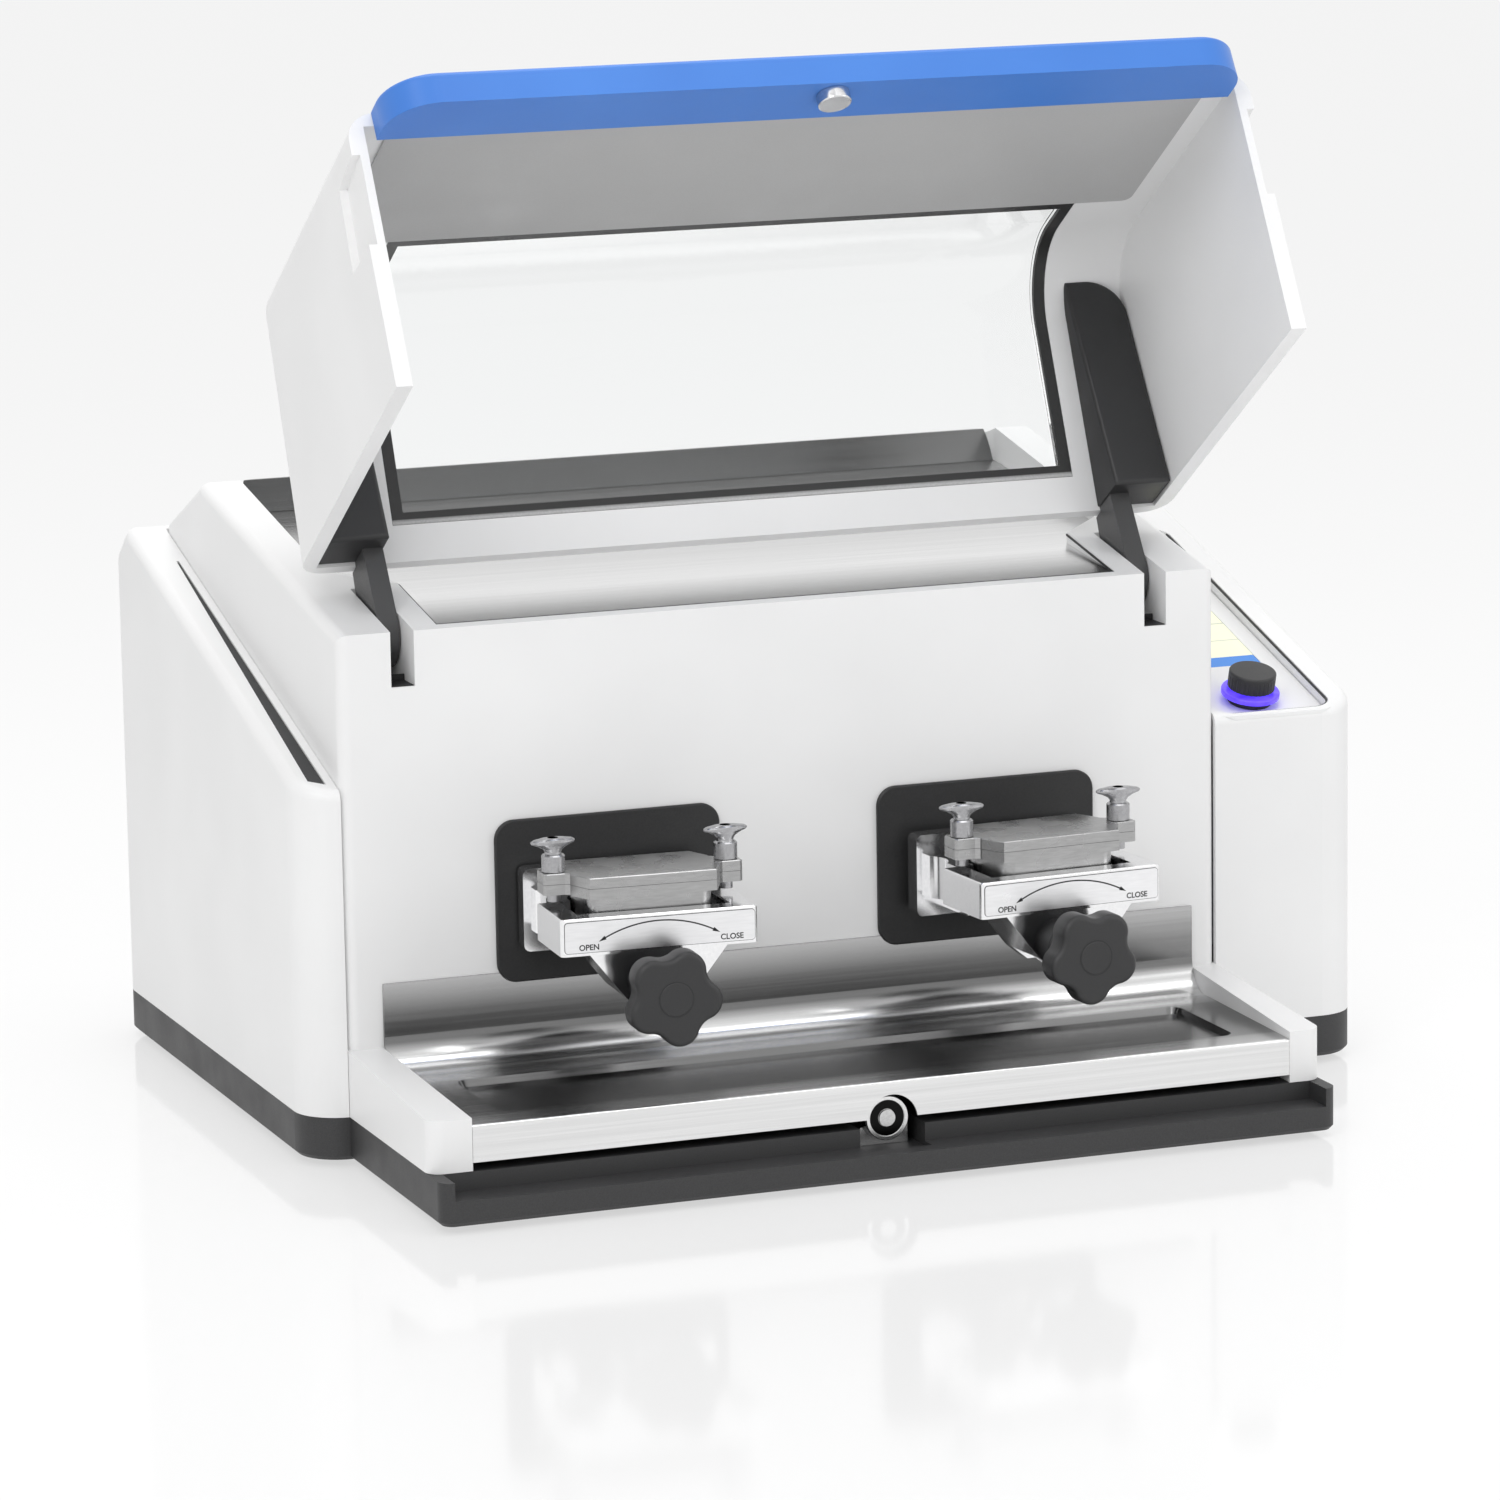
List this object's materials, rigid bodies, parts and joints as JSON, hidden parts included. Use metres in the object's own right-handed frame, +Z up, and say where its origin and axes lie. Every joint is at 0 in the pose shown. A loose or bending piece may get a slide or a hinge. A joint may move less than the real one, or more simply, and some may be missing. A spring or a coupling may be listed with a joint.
{
  "type": "vibratory mixer mill",
  "caption": "Benchtop mixer mill with clamped jars on swinging arms over a steel tray, under a hinged hood with a bent clear window, and a turn-and-push dial beside a sunk display",
  "frame": {"origin": "middle of the footprint, at the underside of the feet", "axes": "+X to the operator's right, +Y to the rear, +Z up"},
  "size_m": [0.69, 0.585, 0.6512],
  "materials": {
    "white_paint": "satin",
    "dark_base": "fine textured matt",
    "black_plastic": "matt",
    "graphite": "satin",
    "brushed_steel": "brushed lengthwise",
    "polished": "bright polished",
    "jar_steel": "fine ground",
    "blue_paint": "satin",
    "clear_sheet": "clear",
    "grey_panel": "satin",
    "rubber": "matt",
    "screen": "lit screen",
    "glow": "lit ring",
    "machined": "machined",
    "cast": "painted casting",
    "circuit": "solder mask"
  },
  "bodies": {
    "housing": {"base_plate": "dark_base", "feet": "rubber", "chamber_housing": "white_paint", "steel_deck": "brushed_steel", "outer_cover": "white_paint", "side_trim": "black_plastic", "mains_inlet": "black_plastic", "switch_frame": "black_plastic", "chamber_tray": "brushed_steel", "port_plates": "black_plastic", "catch_magnet": "polished", "control_plate": "black_plastic", "display": "screen", "dial_collar": "black_plastic", "light_ring": "glow", "control_board": "circuit", "hinge_pins": "machined", "drive_frame": "cast", "crank_bearings": "machined", "drive_motor": "cast", "drive_belt": "rubber"},
    "hood": {"hood_shell": "white_paint", "window_seal": "rubber", "hood_window": "clear_sheet", "hood_liner": "grey_panel", "grip_strip": "blue_paint", "latch_disc": "polished", "left_hinge_arm": "graphite", "right_hinge_arm": "graphite", "left_arm_cover": "black_plastic", "right_arm_cover": "black_plastic"},
    "power_rocker": {"power_switch": "black_plastic"},
    "dial_carrier": {"dial_stem": "machined"},
    "dial": {"control_dial": "black_plastic"},
    "crank": {"crankshaft": "machined"},
    "motor_rotor": {"motor_pulley": "machined"},
    "left_arm": {"left_swing_arm": "polished", "left_clamp_frame": "polished", "left_spindle_bracket": "polished"},
    "left_rod": {"left_push_rod": "machined"},
    "left_knob": {"left_star_knob": "black_plastic", "left_knob_cap": "black_plastic"},
    "left_jaw": {"left_clamp_jaw": "machined"},
    "left_jar_body": {"left_jar": "jar_steel", "left_jar_seal": "rubber"},
    "left_lid": {"left_jar_lid": "jar_steel"},
    "left_outer_screw": {"left_outer_wing_screw": "jar_steel"},
    "left_inner_screw": {"left_inner_wing_screw": "jar_steel"},
    "right_arm": {"right_swing_arm": "polished", "right_clamp_frame": "polished", "right_spindle_bracket": "polished"},
    "right_rod": {"right_push_rod": "machined"},
    "right_knob": {"right_star_knob": "black_plastic", "right_knob_cap": "black_plastic"},
    "right_jaw": {"right_clamp_jaw": "machined"},
    "right_jar_body": {"right_jar": "jar_steel", "right_jar_seal": "rubber"},
    "right_lid": {"right_jar_lid": "jar_steel"},
    "right_outer_screw": {"right_outer_wing_screw": "jar_steel"},
    "right_inner_screw": {"right_inner_wing_screw": "jar_steel"}
  },
  "joints": [
    {"name": "hood_hinge", "type": "hinge", "parent": "housing", "child": "hood", "pos_m": [0, -0.0744, 0.3108], "axis": [1, 0, 0], "range_deg": [0, 123.7]},
    {"name": "power_switch_rock", "type": "hinge", "parent": "housing", "child": "power_rocker", "pos_m": [0.262, 0.2855, 0.122], "axis": [1, 0, 0], "range_deg": [-18, 0]},
    {"name": "dial_push", "type": "slide", "parent": "housing", "child": "dial_carrier", "axis": [0, 0.2807, -0.9598], "range_m": [0, 0.0015], "stiffness_N_per_m": 1200, "springref_m": -0.001},
    {"name": "dial_turn", "type": "hinge", "parent": "dial_carrier", "child": "dial", "pos_m": [0.283, -0.08633, 0.23526], "axis": [0, -0.2807, 0.9598], "continuous": true},
    {"name": "crank_spin", "type": "hinge", "parent": "housing", "child": "crank", "pos_m": [-0.0325, 0.0169, 0.1], "axis": [0, 0, 1], "continuous": true},
    {"name": "motor_spin", "type": "hinge", "parent": "housing", "child": "motor_rotor", "pos_m": [-0.0325, 0.15, 0.1], "axis": [0, 0, 1], "continuous": true},
    {"name": "left_arm_swing", "type": "hinge", "parent": "housing", "child": "left_arm", "pos_m": [-0.1497, -0.03, 0.15], "axis": [0, 0, 1], "range_deg": [0, 7.34]},
    {"name": "left_rod_pivot", "type": "hinge", "parent": "left_arm", "child": "left_rod", "pos_m": [-0.14669, 0.0169, 0.2], "axis": [0, 0, 1], "range_deg": [-7.34, 0]},
    {"name": "left_knob_turn", "type": "hinge", "parent": "left_arm", "child": "left_knob", "pos_m": [-0.16394, -0.25194, 0.117], "axis": [-0.064, -0.9979, 0], "range_deg": [0, 720]},
    {"name": "left_jaw_slide", "type": "slide", "parent": "left_arm", "child": "left_jaw", "axis": [0.064, 0.9979, 0], "range_m": [0, 0.0061]},
    {"name": "left_jar_lift", "type": "slide", "parent": "left_arm", "child": "left_jar_body", "axis": [0, 0, 1], "range_m": [0, 0.045]},
    {"name": "left_lid_lift", "type": "slide", "parent": "left_jar_body", "child": "left_lid", "axis": [0, 0, 1], "range_m": [0, 0.035]},
    {"name": "left_outer_screw_turn", "type": "hinge", "parent": "left_lid", "child": "left_outer_screw", "pos_m": [-0.21246, -0.18821, 0.19], "axis": [0, 0, 1], "range_deg": [0, 720]},
    {"name": "left_inner_screw_turn", "type": "hinge", "parent": "left_lid", "child": "left_inner_screw", "pos_m": [-0.10767, -0.19493, 0.19], "axis": [0, 0, 1], "range_deg": [0, 720]},
    {"name": "right_arm_swing", "type": "hinge", "parent": "housing", "child": "right_arm", "pos_m": [0.0847, -0.03, 0.15], "axis": [0, 0, 1], "range_deg": [-7.34, 0]},
    {"name": "right_rod_pivot", "type": "hinge", "parent": "right_arm", "child": "right_rod", "pos_m": [0.08169, 0.0169, 0.2], "axis": [0, 0, 1], "range_deg": [0, 7.34]},
    {"name": "right_knob_turn", "type": "hinge", "parent": "right_arm", "child": "right_knob", "pos_m": [0.09894, -0.25194, 0.117], "axis": [0.064, -0.9979, 0], "range_deg": [0, 720]},
    {"name": "right_jaw_slide", "type": "slide", "parent": "right_arm", "child": "right_jaw", "axis": [-0.064, 0.9979, 0], "range_m": [0, 0.0061]},
    {"name": "right_jar_lift", "type": "slide", "parent": "right_arm", "child": "right_jar_body", "axis": [0, 0, 1], "range_m": [0, 0.045]},
    {"name": "right_lid_lift", "type": "slide", "parent": "right_jar_body", "child": "right_lid", "axis": [0, 0, 1], "range_m": [0, 0.035]},
    {"name": "right_inner_screw_turn", "type": "hinge", "parent": "right_lid", "child": "right_inner_screw", "pos_m": [0.04267, -0.19493, 0.19], "axis": [0, 0, 1], "range_deg": [0, 720]},
    {"name": "right_outer_screw_turn", "type": "hinge", "parent": "right_lid", "child": "right_outer_screw", "pos_m": [0.14746, -0.18821, 0.19], "axis": [0, 0, 1], "range_deg": [0, 720]}
  ],
  "couplings": [
    {"joint": "motor_spin", "follows": "crank_spin", "ratio": 1.6923},
    {"joint": "left_rod_pivot", "follows": "left_arm_swing", "ratio": -1},
    {"joint": "left_jaw_slide", "follows": "left_knob_turn", "m_per_rad": 0.0004775},
    {"joint": "right_rod_pivot", "follows": "left_arm_swing", "ratio": 1},
    {"joint": "right_jaw_slide", "follows": "right_knob_turn", "m_per_rad": 0.0004775},
    {"joint": "right_arm_swing", "follows": "left_arm_swing", "ratio": -1}
  ]
}
